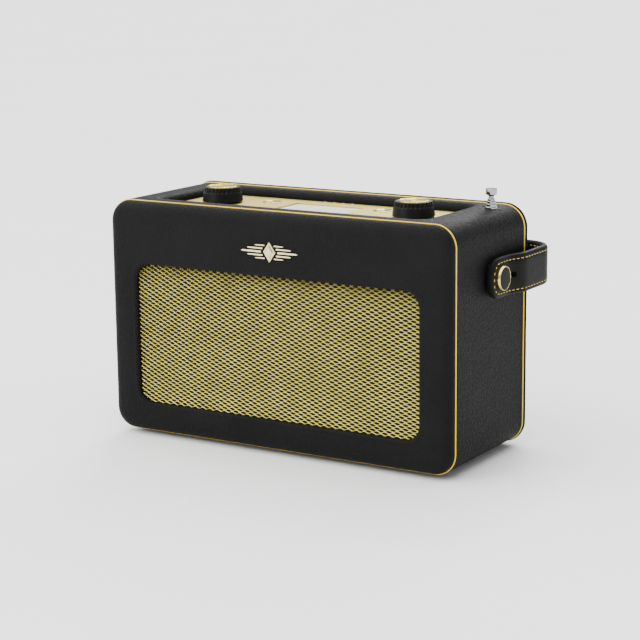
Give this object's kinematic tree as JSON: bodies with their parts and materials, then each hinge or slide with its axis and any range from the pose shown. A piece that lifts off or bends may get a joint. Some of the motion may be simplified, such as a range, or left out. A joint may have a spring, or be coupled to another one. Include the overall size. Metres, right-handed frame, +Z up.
{
  "type": "leather portable radio",
  "caption": "Leather-covered portable radio: carry strap on studs, push-and-turn knobs, push buttons, telescopic aerial, grille, battery door, all moving",
  "frame": {"origin": "middle of the footprint of the bounding box, on the surface the feet stand on", "axes": "+X right-hand side seen from the front, +Y towards the back, +Z up; +X is the longest extent"},
  "size_m": [0.2706, 0.125, 0.1659],
  "materials": {
    "cabinet_board": "bare fibreboard",
    "case_leather": "near-black pebble-grained leathercloth, soft sheen",
    "piping_cord": "honey-gold piping cord",
    "grille_brass": "pale gold expanded metal",
    "grille_cloth": "black loudspeaker cloth",
    "badge_gold": "polished pale gold",
    "fixing_brass": "satin brass",
    "foot_rubber": "matt black rubber",
    "black_plastic": "fine textured black",
    "socket_plastic": "black moulding",
    "circuit_board": "green solder mask",
    "inner_plastic": "dark grey moulding",
    "battery_jacket": "plain dark blue jacket",
    "spring_steel": "bright steel",
    "panel_gold": "champagne gold brushed metal",
    "window_cream": "off-white translucent window",
    "light_pipe": "milky light guides",
    "button_brass": "satin brass, dished",
    "knob_black": "satin black",
    "knob_brass": "spun brass disc",
    "shaft_steel": "turned steel",
    "rotor_plastic": "ivory moulding",
    "encoder_metal": "pressed steel",
    "aerial_chrome": "bright chrome",
    "strap_leather": "black leather with gold stitching",
    "stud_brass": "polished brass",
    "speaker_steel": "dark grey paint",
    "magnet_ferrite": "dark ferrite",
    "cone_paper": "black pulp cone",
    "surround_rubber": "black rubber roll"
  },
  "bodies": {
    "case": {"cabinet_top": "cabinet_board", "cabinet_base": "cabinet_board", "cabinet_left_side": "cabinet_board", "cabinet_right_side": "cabinet_board", "front_baffle": "cabinet_board", "leather_wrap": "case_leather", "front_cover": "case_leather", "back_panel": "case_leather", "front_piping": "piping_cord", "rear_piping": "piping_cord", "grille": "grille_brass", "grille_cloth": "grille_cloth", "front_badge": "badge_gold", "back_panel_screws": "fixing_brass", "rubber_feet": "foot_rubber", "connector_plate": "black_plastic", "power_socket": "socket_plastic", "headphone_socket": "socket_plastic", "line_in_socket": "socket_plastic", "main_board": "circuit_board", "battery_box": "inner_plastic", "batteries": "battery_jacket", "battery_contacts": "spring_steel", "control_panel": "panel_gold", "panel_chassis": "inner_plastic", "display_window": "window_cream", "display_module": "inner_plastic", "control_board": "circuit_board", "indicator_lights": "light_pipe", "button_switches": "inner_plastic", "volume_encoder": "encoder_metal", "tuning_encoder": "encoder_metal", "aerial_bushes": "black_plastic", "speaker_frame": "speaker_steel", "speaker_magnet": "magnet_ferrite", "speaker_surround": "surround_rubber"},
    "strap": {"strap": "strap_leather", "left_stud": "stud_brass", "right_stud": "stud_brass", "stud_insets": "strap_leather", "stud_nuts": "spring_steel"},
    "volume": {"volume_knob": "knob_black", "volume_knob_cap": "knob_brass", "volume_shaft": "shaft_steel"},
    "tuning": {"tuning_knob": "knob_black", "tuning_knob_cap": "knob_brass", "tuning_shaft": "shaft_steel"},
    "volume_push": {"volume_plunger": "rotor_plastic"},
    "tuning_push": {"tuning_plunger": "rotor_plastic"},
    "source": {"source_button": "button_brass"},
    "menu": {"menu_button": "button_brass"},
    "aerial_base": {"aerial_tube": "aerial_chrome"},
    "aerial_1": {"aerial_section_1": "aerial_chrome"},
    "aerial_2": {"aerial_section_2": "aerial_chrome"},
    "aerial_3": {"aerial_section_3": "aerial_chrome"},
    "aerial_4": {"aerial_rod": "aerial_chrome", "aerial_tip": "aerial_chrome"},
    "door": {"battery_door": "black_plastic"},
    "cone": {"speaker_cone": "cone_paper"}
  },
  "joints": [
    {"name": "strap_swing", "type": "hinge", "parent": "case", "child": "strap", "pos_m": [0, -0.0075, 0.116], "axis": [1, 0, 0], "range_deg": [-25, 194]},
    {"name": "volume_push", "type": "slide", "parent": "case", "child": "volume_push", "axis": [0, 0, -1], "range_m": [0, 0.0008], "stiffness_N_per_m": 900, "springref_m": -0.001},
    {"name": "volume_turn", "type": "hinge", "parent": "volume_push", "child": "volume", "pos_m": [-0.071, -0.0085, 0.154], "axis": [0, 0, -1], "continuous": true},
    {"name": "tuning_push", "type": "slide", "parent": "case", "child": "tuning_push", "axis": [0, 0, -1], "range_m": [0, 0.0008], "stiffness_N_per_m": 900, "springref_m": -0.001},
    {"name": "tuning_turn", "type": "hinge", "parent": "tuning_push", "child": "tuning", "pos_m": [0.071, -0.0085, 0.154], "axis": [0, 0, -1], "continuous": true},
    {"name": "source_press", "type": "slide", "parent": "case", "child": "source", "axis": [0, 0, -1], "range_m": [0, 0.0006], "stiffness_N_per_m": 900, "springref_m": -0.0008},
    {"name": "menu_press", "type": "slide", "parent": "case", "child": "menu", "axis": [0, 0, -1], "range_m": [0, 0.0006], "stiffness_N_per_m": 900, "springref_m": -0.0008},
    {"name": "aerial_swivel", "type": "hinge", "parent": "case", "child": "aerial_base", "pos_m": [0.1104, 0.0185, 0.154], "axis": [0, 0, 1], "continuous": true},
    {"name": "aerial_slide_1", "type": "slide", "parent": "aerial_base", "child": "aerial_1", "axis": [0, 0, 1], "range_m": [0, 0.125]},
    {"name": "aerial_slide_2", "type": "slide", "parent": "aerial_1", "child": "aerial_2", "axis": [0, 0, 1], "range_m": [0, 0.125]},
    {"name": "aerial_slide_3", "type": "slide", "parent": "aerial_2", "child": "aerial_3", "axis": [0, 0, 1], "range_m": [0, 0.125]},
    {"name": "aerial_slide_4", "type": "slide", "parent": "aerial_3", "child": "aerial_4", "axis": [0, 0, 1], "range_m": [0, 0.125]},
    {"name": "door_hinge", "type": "hinge", "parent": "case", "child": "door", "pos_m": [0, 0.0397, 0.0192], "axis": [-1, 0, 0], "range_deg": [0, 90]},
    {"name": "cone_travel", "type": "slide", "parent": "case", "child": "cone", "axis": [0, -1, 0], "range_m": [-0.0015, 0.0015], "stiffness_N_per_m": 1500}
  ]
}
